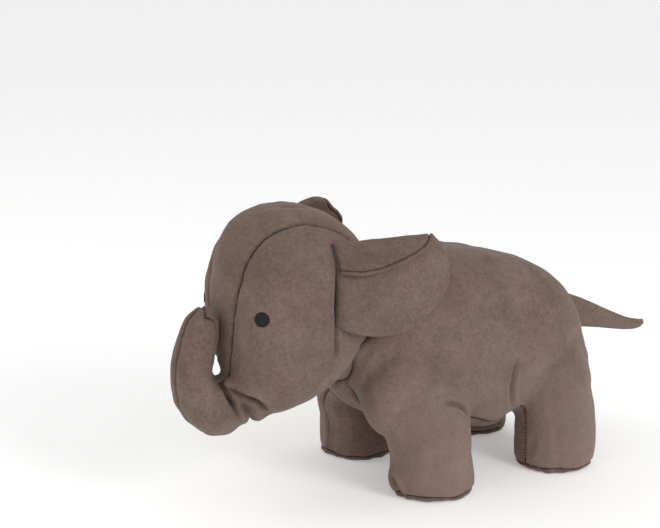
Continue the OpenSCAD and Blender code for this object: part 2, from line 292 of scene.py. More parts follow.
def trunk_share(points):
    """How far each point of the open shape belongs to the trunk, from 0 to 1."""
    q = turned(points, -OPEN_ANGLE / 2)
    middle_x = np.interp(q[:, 2], *TRUNK_BORDER)
    half = np.interp(q[:, 2], *TRUNK_BORDER_HALF)
    return ease((q[:, 0] - middle_x) / (2 * half) + 0.5)


def closed(points):
    share = trunk_share(points)[:, None]
    return points + share * (turned(points, -OPEN_ANGLE) - points)


# The light shows through a slit between trunk and face: its place ahead, its lowest and its highest level
SLIT_AHEAD, SLIT_LOW, SLIT_HIGH = 192.0, 84.6, 100.2
SLIT_HALF = 2.4
SLIT_DIRECTION = (0.85, 0.53)
# How much the slit climbs towards the near side
SLIT_TILT = 0.25
SLIT_SOFTNESS = 0.8
# The furthest that a place moves to clear the slit, on the near side and on the far side
SLIT_MOVE_NEAR = 6.0
SLIT_MOVE_FAR = 24.0


def with_slit(points, share):
    """Draws the face and the trunk back from a straight slit that runs between them."""
    x, y, z = points[:, 0], points[:, 1], points[:, 2]
    ahead, across = SLIT_DIRECTION
    level = z - SLIT_TILT * y
    half = SLIT_HALF * np.sin(math.pi * np.clip((level - SLIT_LOW) / (SLIT_HIGH - SLIT_LOW), 0, 1))
    band = ease((level - SLIT_LOW + 5) / 5) * (1 - ease((level - SLIT_HIGH - 1) / 8))
    reach = ahead * (x - SLIT_AHEAD) - across * y
    most = np.where(y > 4, SLIT_MOVE_NEAR, SLIT_MOVE_FAR)
    moves = np.zeros_like(points)
    for sign, part in ((-1.0, 1 - share), (1.0, share)):
        need = SLIT_SOFTNESS * np.logaddexp(0, (half - sign * reach) / SLIT_SOFTNESS) * band * part
        need = need * (1 - ease((need - most) / 5)) * ease((x - 150) / 15)
        if sign > 0:
            # The front of the trunk stays where it is
            need = need * ease((212 - x) / 6)
        moves[:, 0] += sign * ahead * need
        moves[:, 1] -= sign * across * need
    return points + moves


# --- Body form: torso, legs, head and trunk as one stuffed shape ---
LEGS = ["front_left", "front_right", "hind_left", "hind_right"]
TORSO_NODES = [
    "torso_side_left", "torso_side_right", "belly_gusset", "torso_stuffing",
    *["leg_stuffing_" + leg for leg in LEGS], *["sole_" + leg for leg in LEGS],
]
HEAD_NODES = ["head_side_left", "head_side_right", "head_gusset", "head_stuffing"]
TRUNK_NODES = ["trunk_side_left", "trunk_side_right", "trunk_gusset", "trunk_stuffing"]
BODY_VOXEL = 2.2
BODY_RELAX = 14
ROOT_RELAX = 30
# The trunk's root: centre and reach
ROOT_AREA = ((181, 0, 79), (20, 40, 18))


def ellipsoid(centre, radii):
    bm = bmesh.new()
    bmesh.ops.create_uvsphere(bm, u_segments=32, v_segments=16, radius=1.0)
    mesh = bpy.data.meshes.new("ellipsoid")
    bm.to_mesh(mesh)
    bm.free()
    skin = Skin.from_mesh(mesh)
    skin.co = to_frame(skin.co) * np.array(radii) + np.array(centre)
    return skin


# What fills the corner between face and trunk, and the shoulders: centre and radii of each
ROOT_FILLS = [
    ((178, 0, 79), (16.5, 24, 18)),
    ((168, 0, 80), (16, 27, 22)),
    ((181, 10, 84), (11, 15, 16)),
    ((78, 38, 74), (25, 22, 36)),
    ((74, -38, 72), (23, 21, 34)),
]


def body_form():
    torso = joined_nodes(*TORSO_NODES, *HEAD_NODES)
    trunk = joined_nodes(*TRUNK_NODES)
    trunk.co = turned(trunk.co, OPEN_ANGLE)
    both = merged(torso, trunk, *[ellipsoid(*fill) for fill in ROOT_FILLS])
    form = remeshed(both, "body_form", BODY_VOXEL)
    form.relax(BODY_RELAX)
    form.relax(ROOT_RELAX, np.clip(near_to(form.co, *ROOT_AREA) * 1.6, 0, 1))
    return form


# Where the stuffing has shifted: centre, reach and move of each soft push
FORM_MOVES = [
    ((88, 37, 60), (24, 25, 20), (1.5, 0, 0)),
    ((85, 37, 28), (20, 26, 16), (2.2, 0, 0)),
    ((84, 42, 8), (16, 24, 11), (3.2, 0, 0)),
    ((98, -37, 60), (26, 25, 26), (-8.0, 0, 0)),
    ((98, -37, 20), (26, 26, 22), (-7.0, 0, 0)),
    ((104, -37, 2), (16, 26, 10), (-5.0, 0, 1.5)),
    ((176, 0, 57), (7, 30, 12), (0, 0, 5.0)),
    ((202, 0, 120), (9, 22, 18), (-3.5, 0, 0)),
    ((206, 0, 134), (12, 20, 10), (0, 0, 2.5)),
    ((168, 0, 185), (24, 40, 18), (1.5, 0, 1.5)),
    ((20, 44, 44), (28, 20, 14), (0, 0, -5.5)),
    ((20, -44, 44), (28, 20, 14), (0, 0, -5.5)),
    ((2, 46, 45), (15, 16, 12), (0, 0, -6.0)),
    ((2, -46, 45), (15, 16, 12), (0, 0, -6.0)),
    ((150, 0, 60), (16, 30, 14), (0, 0, 4.0)),
    ((193, 0, 50), (16, 24, 14), (0, 0, -2.5)),
    ((-74, 57, 76), (12, 18, 13), (2.2, -1.4, 0)),
    ((-66, 68, 22), (16, 18, 22), (-1.6, 1.0, 0)),
]


def pushed(points):
    for centre, reach, move in FORM_MOVES:
        points = points + near_to(points, centre, reach)[:, None] * np.array(move, float)
    return points


CLOTH_VOXEL = 4.5
CLOTH_FRAMES = 20
# The cloth starts this far inside the form, and no point moves further than the cap
CLOTH_START = 0.5
CLOTH_CAP = 3.5
CLOTH_SETTINGS = dict(
    quality=6, mass=0.3, tension_stiffness=18, compression_stiffness=18, shear_stiffness=8,
    bending_stiffness=0.4, air_damping=4, use_pressure=True, uniform_pressure_force=4.0,
    vertex_group_mass="seams", shrink_min=-0.014,
)


def stuffed(form):
    """The form with its skin as cloth: held along the seams, and pressed out from inside between them."""
    coarse = remeshed(form, "cloth_form", CLOTH_VOXEL)
    labels = pattern(coarse.co)
    pairs = coarse.edges()
    held = np.unique(pairs[labels[pairs[:, 0]] != labels[pairs[:, 1]]])
    start = Skin(coarse.co - coarse.normals() * CLOTH_START, coarse.loops, coarse.counts)
    obj = placed("cloth_form", start.to_mesh("cloth_form"))
    obj.vertex_groups.new(name="seams").add(held.tolist(), 1.0, "REPLACE")
    cloth = obj.modifiers.new("cloth", "CLOTH")
    for name, value in CLOTH_SETTINGS.items():
        setattr(cloth.settings, name, value)
    cloth.settings.effector_weights.gravity = 0
    cloth.point_cache.frame_start = 1
    cloth.point_cache.frame_end = CLOTH_FRAMES
    for step in range(1, CLOTH_FRAMES + 1):
        bpy.context.scene.frame_set(step)
    result = Skin.from_mesh(evaluated(obj))
    bpy.data.objects.remove(obj)
    bpy.context.scene.frame_set(1)
    move = result.co - coarse.co
    length = np.linalg.norm(move, axis=1, keepdims=True)
    move = move * np.minimum(1, CLOTH_CAP / np.maximum(length, 1e-6))
    form.co = form.co + form.spread(carried(coarse.co, move, form.co), 2)
    return form


def tree_of(spots):
    tree = kdtree.KDTree(len(spots))
    for k, p in enumerate(spots):
        tree.insert(p, k)
    tree.balance()
    return tree


def carried(sources, values, points):
    """Values at the points, from the values at the sources nearest to each."""
    tree = tree_of(sources)
    out = np.zeros_like(points)
    for n, p in enumerate(points):
        found = tree.find_n(p, 4)
        weight = [1.0 / (f[2] + 0.3) ** 2 for f in found]
        out[n] = sum(w * values[f[1]] for w, f in zip(weight, found)) / sum(weight)
    return out


# --- Pattern: which panel each place on the skin belongs to ---
# Each panel's label is its place in the list; SOLES is the first of four
SIDE_LEFT, SIDE_RIGHT, GUSSET, SOLES, HEAD_LEFT, HEAD_RIGHT, CROWN = 0, 1, 2, 3, 7, 8, 9
PANELS = [
    "torso_side_left", "torso_side_right", "belly_gusset", *["sole_" + leg for leg in LEGS],
    "head_side_left", "head_side_right", "head_gusset",
]
FACE_CENTRE = (140.0, 120.0)
BACK_SEAM_DRIFT = 13.0


NECK_WAY = (0.93, 0.0, 0.37)
# Tables of the pattern: places along one direction, and the value at each
NECK_SEAM = (
    [70, 81, 88, 94, 100, 105, 109, 114, 130, 170],
    [129.5, 131.2, 134.2, 137.0, 138.8, 139.0, 138.0, 137.2, 140.5, 143.8],
)
BELLY_HALF = 49
GUSSET_HALF_HIND = ([4, 24, 36, 50], [54, 45, 41, 43])
GUSSET_HALF_FRONT = ([40, 50, 58, 71.5, 77, 82, 104], [36, 30, 21, 23, 22.6, 21.5, 25])
CROWN_HALF = (
    [-60, -32, -12, 8, 33, 51, 65, 80, 87, 98, 120, 150],
    [8, 9, 13.1, 15.4, 19, 21.6, 25.2, 27.3, 27.6, 30.2, 32.9, 34],
)
TRUNK_GUSSET_HALF = 8.0
CROWN_BOTTOM = ([150, 160, 177, 194, 206], [86, 80, 73, 71, 82])
CROWN_FRONT = ([71, 82, 100, 118, 130, 137], [194, 206, 209, 206, 203, 201])
SOLE_HEIGHT = 3.1


def past_neck(x, z):
    """How far a place is ahead of the seam round the neck."""
    return NECK_WAY[0] * x + NECK_WAY[2] * z - np.interp(z, *NECK_SEAM)


def pattern(points):
    share = trunk_share(points)
    p = closed(points)
    x, y, z = p[:, 0], p[:, 1], p[:, 2]
    side = np.abs(y)

    is_head = past_neck(x, z) > 0

    # Torso
    front_leg = ease((x - 40) / 30)
    hind_front = np.interp(z, *GUSSET_HALF_HIND)
    front_half = np.interp(z, *GUSSET_HALF_FRONT)
    front_half = np.where((y < 0) & (z < 62), 50 - 17 * ease((z - 36) / 26), front_half)
    half = BELLY_HALF + (front_half - BELLY_HALF) * front_leg
    half = np.where(x < -35, np.where(x > -51, hind_front, 51), half)
    half = half + (hind_front - half) * ease((x + 51) / 6) * ease((-20 - x) / 15)
    in_reach = (z < 58) | ((x > 70) & (z < 104))
    # The seam along the back wanders off the middle
    back_seam = -BACK_SEAM_DRIFT * ease((z - 95) / 30)
    torso = np.where((side < half) & in_reach, GUSSET, np.where(y > back_seam, SIDE_LEFT, SIDE_RIGHT))
    angle = np.arctan2(side - LEG_Y, np.abs(x - LEGS_AHEAD) - SOLE_REACH)
    sole_top = SOLE_HEIGHT + 0.6 * np.sin(3 * angle + 0.6) + 0.4 * np.sin(7 * angle + x * 0.02)
    sole = SOLES + np.where(x > 0, 0, 2) + np.where(y > 0, 0, 1)
    torso = np.where(z < sole_top, sole, torso)

    # Head and trunk
    around = np.degrees(np.arctan2(z - FACE_CENTRE[1], x - FACE_CENTRE[0]))
    crown_half = np.interp(around, *CROWN_HALF) * (1 - share) + TRUNK_GUSSET_HALF * share
    on_crown = (side < crown_half) & (z > np.interp(x, *CROWN_BOTTOM)) & (x < np.interp(z, *CROWN_FRONT))
    head = np.where(on_crown, CROWN, np.where(y > 0, HEAD_LEFT, HEAD_RIGHT))
    return np.where(is_head, head, torso)


# --- Cutting a skin along the lines where the pattern changes ---


# A point moves onto the line if it is nearer than this share of its edge
SNAP_SHARE = 0.3
CUT_HALVINGS = 14


def cut_by_pattern(skin, labels_of, keys=None):
    """Cuts the skin where its label changes. Labels come from each point's keys, which are its place
    unless others are given. Returns the cut skin, each face's label and each point's keys."""
    keys = skin.co if keys is None else keys
    labels = labels_of(keys)
    pairs = skin.edges()
    crossing = pairs[labels[pairs[:, 0]] != labels[pairs[:, 1]]]
    first, second = keys[crossing[:, 0]], keys[crossing[:, 1]]
    near = labels[crossing[:, 0]]
    low, high = np.zeros(len(crossing)), np.ones(len(crossing))
    for _ in range(CUT_HALVINGS):
        t = (low + high) / 2
        same = labels_of(first + (second - first) * t[:, None]) == near
        low, high = np.where(same, t, low), np.where(same, high, t)
    t = (low + high) / 2
    a, b = skin.co[crossing[:, 0]], skin.co[crossing[:, 1]]
    spot = a + (b - a) * t[:, None]
    spot_keys = first + (second - first) * t[:, None]

    # Points close to the line move onto it, which avoids slivers
    reach = np.minimum(t, 1 - t)
    snapped = set()
    keys = np.array(keys)
    co = np.array(skin.co)
    for k in np.argsort(reach):
        if reach[k] > SNAP_SHARE:
            break
        v = int(crossing[k, 0] if t[k] < 0.5 else crossing[k, 1])
        if v not in snapped:
            snapped.add(v)
            co[v] = spot[k]
            keys[v] = spot_keys[k]

    # Other crossings become new points on their edges
    split = [k for k, (i, j) in enumerate(crossing.tolist()) if i not in snapped and j not in snapped]
    new_on_edge = {tuple(crossing[k].tolist()): len(co) + n for n, k in enumerate(split)}
    marked = snapped | set(new_on_edge.values())
    co = np.concatenate([co, spot[split]])
    keys = np.concatenate([keys, spot_keys[split]])
    touched = np.zeros(len(co), bool)
    touched[list(snapped)] = True
    edge_ends = np.array(list(new_on_edge), int).reshape(-1, 2)
    touched[edge_ends.ravel()] = True
    face_touched = np.bincount(
        np.repeat(np.arange(len(skin.counts)), skin.counts), touched[skin.loops], len(skin.counts)
    ) > 0
    loops, counts = [], []
    for f in np.nonzero(face_touched)[0]:
        ring = []
        corners = skin.loops[skin.starts[f]:skin.starts[f] + skin.counts[f]].tolist()
        for n, v in enumerate(corners):
            ring.append(v)
            w = corners[(n + 1) % len(corners)]
            new = new_on_edge.get((min(v, w), max(v, w)))
            if new is not None:
                ring.append(new)
        spots = [n for n, v in enumerate(ring) if v in marked]
        cuts = [(i, j) for n, i in enumerate(spots) for j in spots[n + 1:] if 1 < j - i < len(ring) - 1]
        if cuts:
            i, j = cuts[0]
            rings = [ring[i:j + 1], ring[j:] + ring[:i + 1]]
        else:
            rings = [ring]
        for part in rings:
            loops.extend(part)
            counts.append(len(part))
    keep = ~face_touched
    loop_keep = np.repeat(keep, skin.counts)
    out = Skin(
        co,
        np.concatenate([skin.loops[loop_keep], np.array(loops, int)]),
        np.concatenate([skin.counts[keep], np.array(counts, int)]),
    )
    centre = np.add.reduceat(keys[out.loops], out.starts, axis=0) / out.counts[:, None]
    return out, labels_of(centre), keys


def seam_points(skin, face_label):
    """Points used by faces of more than one panel."""
    label = np.repeat(face_label, skin.counts)
    low = np.full(len(skin.co), 10 ** 6)
    high = np.full(len(skin.co), -1)
    np.minimum.at(low, skin.loops, label)
    np.maximum.at(high, skin.loops, label)
    return low != high


def distance_to(points, spots):
    tree = tree_of(spots)
    return np.array([tree.find(p)[2] for p in points])


def distance_to_line(points, line):
    """Distance from each point to a polyline, and how far along the line it is, from 0 to 1."""
    line = np.asarray(line, float)
    best = np.full(len(points), 1e9)
    along = np.zeros(len(points))
    lengths = np.linalg.norm(np.diff(line, axis=0), axis=1)
    before = np.concatenate([[0], np.cumsum(lengths)])
    for k in range(len(line) - 1):
        a, b = line[k], line[k + 1]
        t = np.clip(((points - a) @ (b - a)) / lengths[k] ** 2, 0, 1)
        d = np.linalg.norm(points - a - t[:, None] * (b - a), axis=1)
        nearer = d < best
        best = np.where(nearer, d, best)
        along = np.where(nearer, (before[k] + t * lengths[k]) / before[-1], along)
    return best, along


def fine_line(points, steps=8):
    """A smooth curve through the points."""
    p = [np.asarray(q, float) for q in points]
    p = [2 * p[0] - p[1]] + p + [2 * p[-1] - p[-2]]
    out = []
    for a, b, c, d in zip(p, p[1:], p[2:], p[3:]):
        for t in np.arange(steps) / steps:
            bend = (2 * a - 5 * b + 4 * c - d) * t * t + (3 * b - a - 3 * c + d) * t ** 3
            out.append(0.5 * (2 * b + (c - a) * t + bend))
    out.append(p[-2])
    return np.array(out)


# --- Materials ---


def feed(socket, value):
    """Gives an input a constant, or joins another node's output to it."""
    if isinstance(value, bpy.types.NodeSocket):
        socket.id_data.links.new(value, socket)
    else:
        socket.default_value = value


def set_inputs(node, **values):
    for name, value in values.items():
        feed(node.inputs[name.replace("_", " ")], value)


class Weaver:
    """Builds one material's nodes. Each method but bump returns an output socket."""

    def __init__(self, name):
        self.material = bpy.data.materials.new(name)
        self.material.use_nodes = True
        self.shader = self.material.node_tree.nodes["Principled BSDF"]
        self.place = self.node("TexCoord").outputs["Object"]

    def node(self, kind, **inputs):
        node = self.material.node_tree.nodes.new("ShaderNode" + kind)
        set_inputs(node, **inputs)
        return node

    def moved(self, shift):
        return self.node("Mapping", Vector=self.place, Location=shift).outputs["Vector"]

    def height(self):
        return self.node("SeparateXYZ", Vector=self.place).outputs["Z"]

    def attribute(self, name):
        node = self.node("Attribute")
        node.attribute_name = name
        return node.outputs["Fac"]

    def noise(self, scale, detail, rough, distort=0.0, at=None):
        node = self.node(
            "TexNoise", Vector=at or self.place,
            Scale=scale, Detail=detail, Roughness=rough, Distortion=distort,
        )
        return node.outputs["Fac"]

    def ramp(self, socket, *stops):
        node = self.node("ValToRGB", Fac=socket)
        elements = node.color_ramp.elements
        while len(elements) < len(stops):
            elements.new(0.5)
        for element, (at, colour) in zip(elements, stops):
            element.position = at
            element.color = (*colour, 1.0) if isinstance(colour, tuple) else (colour, colour, colour, 1.0)
        return node.outputs["Color"]

    def mix(self, kind, share, first, second):
        node = self.node("Mix")
        node.data_type = "RGBA"
        node.blend_type = kind
        # Inputs 6 and 7 of a Mix node are its two colours
        for at, value in ((0, share), (6, first), (7, second)):
            feed(node.inputs[at], (*value, 1.0) if isinstance(value, tuple) else value)
        return node.outputs[2]

    def maths(self, kind, *values):
        node = self.node("Math")
        node.operation = kind
        for socket, value in zip(node.inputs, values):
            feed(socket, value)
        return node.outputs["Value"]

    def bump(self, height, strength, distance):
        node = self.node("Bump", Strength=strength, Distance=distance, Height=height)
        set_inputs(self.shader, Normal=node.outputs["Normal"])


def scaled(colour, *factors):
    return tuple(min(c * f, 1.0) for c, f in zip(colour, factors))


def suede(name, base, seed, painted_low_light=0.0):
    """Faux suede: soft patches, fine mottling, pale swirling scuffs and a short nap, darkened with painted
    shade where the shade attribute marks creases and seams, and, if asked, painted paler low down as painted
    light.
    """
    w = Weaver(name)
    at = w.moved((seed * 0.37, seed * 0.21, seed * 0.13))
    patches = w.ramp(
        w.noise(34.0, 3.0, 0.55, 0.4, at),
        (0.33, scaled(base, 0.86, 0.85, 0.85)), (0.5, base), (0.68, scaled(base, 1.14, 1.15, 1.17)),
    )
    warmth = w.ramp(w.noise(21.0, 2.0, 0.5, 0.0, at), (0.35, (1.0, 0.95, 0.94)), (0.65, (0.95, 1.0, 1.0)))
    tinted = w.mix("MULTIPLY", 1.0, patches, warmth)
    clouds = w.ramp(w.noise(120.0, 4.0, 0.65, 0.6, at), (0.3, 0.86), (0.62, 1.04))
    clouded = w.mix("MULTIPLY", 0.9, tinted, clouds)
    mottles = w.ramp(w.noise(430.0, 4.0, 0.7, 0.3, at), (0.34, 0.79), (0.5, 0.98), (0.66, 1.18))
    mottled = w.mix("MULTIPLY", 0.85, clouded, mottles)
    swirls = w.ramp(w.noise(190.0, 2.0, 0.5, 2.2, at), (0.482, 0.0), (0.5, 0.42), (0.518, 0.0))
    rubbed = w.ramp(w.noise(55.0, 3.0, 0.6, 0.0, at), (0.48, 0.0), (0.62, 1.0))
    scuffed = w.mix("MIX", w.maths("MULTIPLY", swirls, rubbed), mottled, scaled(base, 1.5, 1.55, 1.6))
    flecks = w.ramp(w.noise(900.0, 3.0, 0.7, 0.0, at), (0.56, 0.0), (0.72, 0.35))
    worn = w.mix("MIX", flecks, scuffed, scaled(base, 1.6, 1.64, 1.7))
    # Painted shade: the colour is darkened where the shade attribute marks a crease or a seam
    painted_shade_and_light = w.mix("MULTIPLY", 1.0, worn, w.ramp(w.attribute("shade"), (0.0, 1.0), (1.0, 0.3)))
    if painted_low_light:
        # Painted light: the fabric is painted paler towards the feet, standing in for the low light that
        # falls there
        low_light_mask = w.ramp(w.height(), (0.02, 1.0), (0.11, 0.0))
        painted_shade_and_light = w.mix("MIX", w.maths("MULTIPLY", low_light_mask, painted_low_light), painted_shade_and_light, scaled(base, 1.9, 1.95, 2.0))
    set_inputs(
        w.shader, Base_Color=painted_shade_and_light, Specular_IOR_Level=0.15,
        Roughness=w.ramp(w.noise(150.0, 3.0, 0.6, 0.0, at), (0.3, 0.82), (0.7, 0.96)),
        Sheen_Weight=0.12, Sheen_Roughness=0.5, Sheen_Tint=(0.95, 0.88, 0.84, 1.0),
    )
    nap = w.noise(1500.0, 4.0, 0.7, 0.0, at)
    grain = w.noise(420.0, 5.0, 0.6, 0.8, at)
    w.bump(w.maths("MULTIPLY_ADD", nap, 0.6, grain), 0.3, 0.0006)
    return w.material


BROWN = (0.157, 0.1075, 0.088)
suede_main = suede("suede_main", BROWN, 1.0, painted_low_light=0.34)
suede_under = suede("suede_under", (0.152, 0.105, 0.088), 2.0)
suede_ear = suede("suede_ear", (0.145, 0.099, 0.081), 3.0)
suede_head = suede("suede_head", (0.162, 0.1105, 0.0896), 4.0)


def thread(name, colour, specular):
    w = Weaver(name)
    fibres = w.noise(2600.0, 2.0, 0.5)
    shades = w.ramp(fibres, (0.3, scaled(colour, 0.7, 0.7, 0.7)), (0.7, scaled(colour, 1.5, 1.5, 1.5)))
    set_inputs(w.shader, Base_Color=shades, Roughness=0.7, Specular_IOR_Level=specular)
    w.bump(fibres, 0.3, 0.0002)
    return w.material


eye_thread = thread("eye_thread", (0.013, 0.014, 0.013), 0.25)
seam_thread = thread("seam_thread", (0.36, 0.30, 0.25), 0.3)

# --- Body: form, seams, panels ---
SEAM_DEPTH = 1.9
SEAM_HALF = 1.35
PUFF_DEPTH = 0.8
PUFF_HALF = 7.0
ROLL_RISE = 1.5
# Painted shade along the seams: how dark it is at most, and its half width
SEAM_SHADE = 0.5
SEAM_SHADE_HALF = 0.8
FABRIC = 0.9
LIP_GAP = 0.23
PANEL_FABRIC = {"belly": suede_under, "sole": suede_under, "head": suede_head}
# A crease this deep gets the full painted shade
CREASE_SHADE_DEPTH = 4.4
FLOOR_CLEARANCE = 0.8

# Places where the fabric is drawn smooth: centre, reach and rounds of relaxing
SMOOTHED = [
    ((184, 17, 84), (10, 11, 10), 60),
    ((184, -17, 84), (10, 11, 10), 60),
    ((92, 48, 74), (20, 24, 18), 40),
    ((92, -48, 74), (20, 24, 18), 40),
    ((-92, 38, 66), (18, 32, 24), 60),
    ((-92, -38, 66), (18, 32, 24), 60),
]
# Creases in the fabric: the points each runs through, its depth, its half width and the ridge beside it
CREASES = [
    ([(194.5, 7, 88), (193.5, 13, 84), (191, 18.6, 76.3), (186.7, 20.7, 66)], 4.0, 1.5, 0.35),
    ([(192.5, 8, 88), (188.4, 16, 84.4), (183.6, 23.8, 81), (176.2, 28.5, 76.4), (168, 25.5, 66)],
     4.4, 1.6, 0.4),
    ([(184.4, 21.4, 74), (178, 21.5, 66), (173, 14, 60), (172, 0, 58)], 4.5, 2.6, 0.3),
    ([(127.2, 40.2, 177.3), (133.5, 51.4, 149.9), (134.1, 52.4, 124.2), (132.8, 50.5, 100)], 3.4, 1.3, 0.3),
    ([(89, 34, 20), (86, 42, 15), (83, 48, 9), (81, 51, 2)], 2.8, 1.9, 0.7),
    ([(-30, 62, 1), (-38, 64, 6), (-46, 64, 4), (-56, 63, 3)], 1.2, 1.6, 0.6),
    ([(129.2, 38, 85.5), (119, 31, 80.5), (110, 21.8, 79)], 2.0, 1.8, 0.5),
    ([(60, 65, 67.5), (52, 66.4, 65.5), (42, 65.6, 60), (36, 64.2, 52)], 3.2, 1.6, 0.5),
    ([(-2.5, 64.3, 86), (-1.5, 63.5, 76), (-1.5, 61.8, 67.2), (-4, 58, 58), (-10, 53, 48)], 2.6, 1.6, 0.5),
    ([(4, 63, 64), (4.5, 61, 57), (1, 56, 48)], 0.8, 1.6, 0.4),
    ([(152.6, 5.5, 196.3), (144.1, 10.7, 196.5), (132.5, 12, 195.4)], 0.8, 2.4, 0.6),
]


def creased(skin):
    """The skin's points with the creases pressed in, the same on both sides, and how deep in one each is, as
    painted shade.
    """
    moved = np.array(skin.co)
    shade = np.zeros(len(moved))
    normal = skin.normals()
    mirrored = skin.co * np.array([1, -1, 1])
    for line, depth, half, ridge in CREASES:
        line = fine_line(line)
        for points in (skin.co, mirrored):
            gap, along = distance_to_line(points, line)
            taper = np.sin(math.pi * np.clip(0.06 + 0.88 * along, 0, 1)) ** 0.7
            press = depth * bell(gap, half)
            lift = depth * ridge * bell(gap - 2.2 * half, 1.1 * half)
            moved -= normal * ((press - lift) * taper)[:, None]
            # Painted shade: the deeper the crease, the darker the fabric is painted
            shade = np.maximum(shade, depth / CREASE_SHADE_DEPTH * taper * bell(gap, 0.7 * half))
    return moved, np.clip(shade, 0, 1)


def make_object(name, skin, material, shade=None):
    """A smooth piece. The shade, from 0 to 1, is painted shade that darkens the fabric in creases and along
    seams.
    """
    mesh = skin.to_mesh(name)
    mesh.materials.append(material)
    mesh.polygons.foreach_set("use_smooth", [True] * len(mesh.polygons))
    if shade is not None:
        layer = mesh.attributes.new("shade", "FLOAT", "POINT")
        layer.data.foreach_set("value", np.asarray(shade, np.float32))
    return placed(name, mesh)


def thicken(obj, thickness):
    """Gives a piece the thickness of its fabric, on its inner side."""
    solid = obj.modifiers.new("thickness", "SOLIDIFY")
    solid.thickness = thickness * MM
    solid.offset = -1


def drawn_in(panel, lip, gap):
    """The panel's points with its cut edge drawn back, which leaves a hairline between panels."""
    inward = panel.spread(panel.co, 2, 0.5) - panel.co
    return panel.co + np.where(lip[:, None], unit(inward) * gap, 0)


def panel_of(skin, chosen):
    """The faces marked in `chosen` as a skin of their own, and the points they use."""
    loop_on = np.repeat(chosen, skin.counts)
    used, loops = np.unique(skin.loops[loop_on], return_inverse=True)
    return Skin(skin.co[used], loops, skin.counts[chosen]), used


def on_floor(height):
    """Heights with whatever would reach below the floor pressed flat just above it."""
    low = FLOOR_CLEARANCE
    return np.where(height < low, low * np.exp((height - low) / low), height)


body = body_form()
body.co = pushed(body.co)
body = stuffed(body)
body.co[:, 2] = on_floor(body.co[:, 2])
body = through_modifier(body, "body_fine", "SUBSURF", levels=1, render_levels=1)
body, body_label, _ = cut_by_pattern(body, pattern)
on_seam = seam_points(body, body_label)
normal = body.normals()
gap = distance_to(body.co, body.co[on_seam])
pucker = value_noise(body.co, 6.0, 3)
lumps = 0.5 * value_noise(body.co, 31.0, 5) + 0.22 * value_noise(body.co, 12.0, 6)
groove = SEAM_DEPTH * (1 + 0.25 * pucker) * bell(gap, SEAM_HALF)
puff = PUFF_DEPTH * (1 + 0.6 * pucker) * bell(gap, PUFF_HALF)
body.co = body.co - normal * (groove + puff - lumps * ease(body.co[:, 2] / 12.0))[:, None]
share = trunk_share(body.co)
# The seam allowance makes a soft roll round the back of the neck
beyond = past_neck(body.co[:, 0], body.co[:, 2])
roll = ROLL_RISE * bell(beyond - 2.8, 2.0) * ease((body.co[:, 2] - 138) / 20.0)
body.co = body.co + normal * (roll * (1 + 0.4 * pucker))[:, None]
body.co = with_slit(closed(body.co), share)
for centre, reach, rounds in SMOOTHED:
    body.relax(rounds, np.clip(near_to(body.co, centre, reach) * 1.5, 0, 1))
body.co, shade = creased(body)
# Painted shade along the seams, joined to the painted shade in the creases
shade = np.maximum(shade, SEAM_SHADE * bell(gap, SEAM_SHADE_HALF))
body.co[:, 2] = on_floor(body.co[:, 2])

for label, name in enumerate(PANELS):
    panel, used = panel_of(body, body_label == label)
    panel.co = drawn_in(panel, on_seam[used], LIP_GAP)
    material = PANEL_FABRIC.get(name.split("_")[0], suede_main)
    obj = make_object(name + "_fabric", panel, material, shade[used])
    thicken(obj, FABRIC)
    if name.startswith("head"):
        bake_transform(obj)
    else:
        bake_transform(obj)
    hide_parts(name)
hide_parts("trunk_side_left", "head_stuffing", "trunk_stuffing")
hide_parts("trunk_side_right")
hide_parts("trunk_gusset")
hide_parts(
    "torso_stuffing", "leg_stuffing_front_left", "leg_stuffing_hind_left"
)
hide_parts("leg_stuffing_front_right", "leg_stuffing_hind_right")

# --- Tail ---
TAIL_VOXEL = 0.9
TAIL_BLUNTED = 2.2
TAIL_SEAM_DEPTH = 0.7
TAIL_SEAM_HALF = 1.1
TAIL_FABRIC = 0.7
tail = joined_nodes("tail_side_left", "tail_side_right", "tail_stuffing")
tail = remeshed(tail, "tail_form", TAIL_VOXEL)
tail.relax(15)
tail.co[:, 0] = np.maximum(tail.co[:, 0], tail.co[:, 0].min() + TAIL_BLUNTED)
tail.relax(6)

tail, tail_label, _ = cut_by_pattern(tail, lambda points: (points[:, 1] < 0).astype(int))
gap = distance_to(tail.co, tail.co[seam_points(tail, tail_label)])
tail.co = tail.co - tail.normals() * (TAIL_SEAM_DEPTH * bell(gap, TAIL_SEAM_HALF))[:, None]
for k, name in enumerate(["tail_side_left", "tail_side_right"]):
    panel, _ = panel_of(tail, tail_label == k)
    obj = make_object(name + "_fabric", panel, suede_main)
    thicken(obj, TAIL_FABRIC)
    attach(obj, "tail")
    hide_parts(name)
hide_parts("tail_stuffing")

# --- Ears: two sewn layers, with the top folded down over the front ---
EAR_ROOT_HEIGHT = 51.0
EAR_CUT_HEIGHT = 67.0
EAR_LEAN = (-4.0, -13.0)
EAR_HALF = 1.35
EAR_ROLL = 1.5
EAR_HEM = 2.5
# The hemmed edge's length as a share of the ear's width and length together
EAR_HEM_DEPTH = 1.15
EAR_HEM_HALF = 0.5
EAR_LIP_GAP = 0.1
EAR_FOLD_RADIUS = 2.2
# How flat the fold is pressed at the root
EAR_FOLD_PRESSED = 0.66
# How far out the ear stands from the body at its foot, and how much more at its top
EAR_BULGE = (6.0, 8.0)
EAR_BULGE_RUN = 50.0
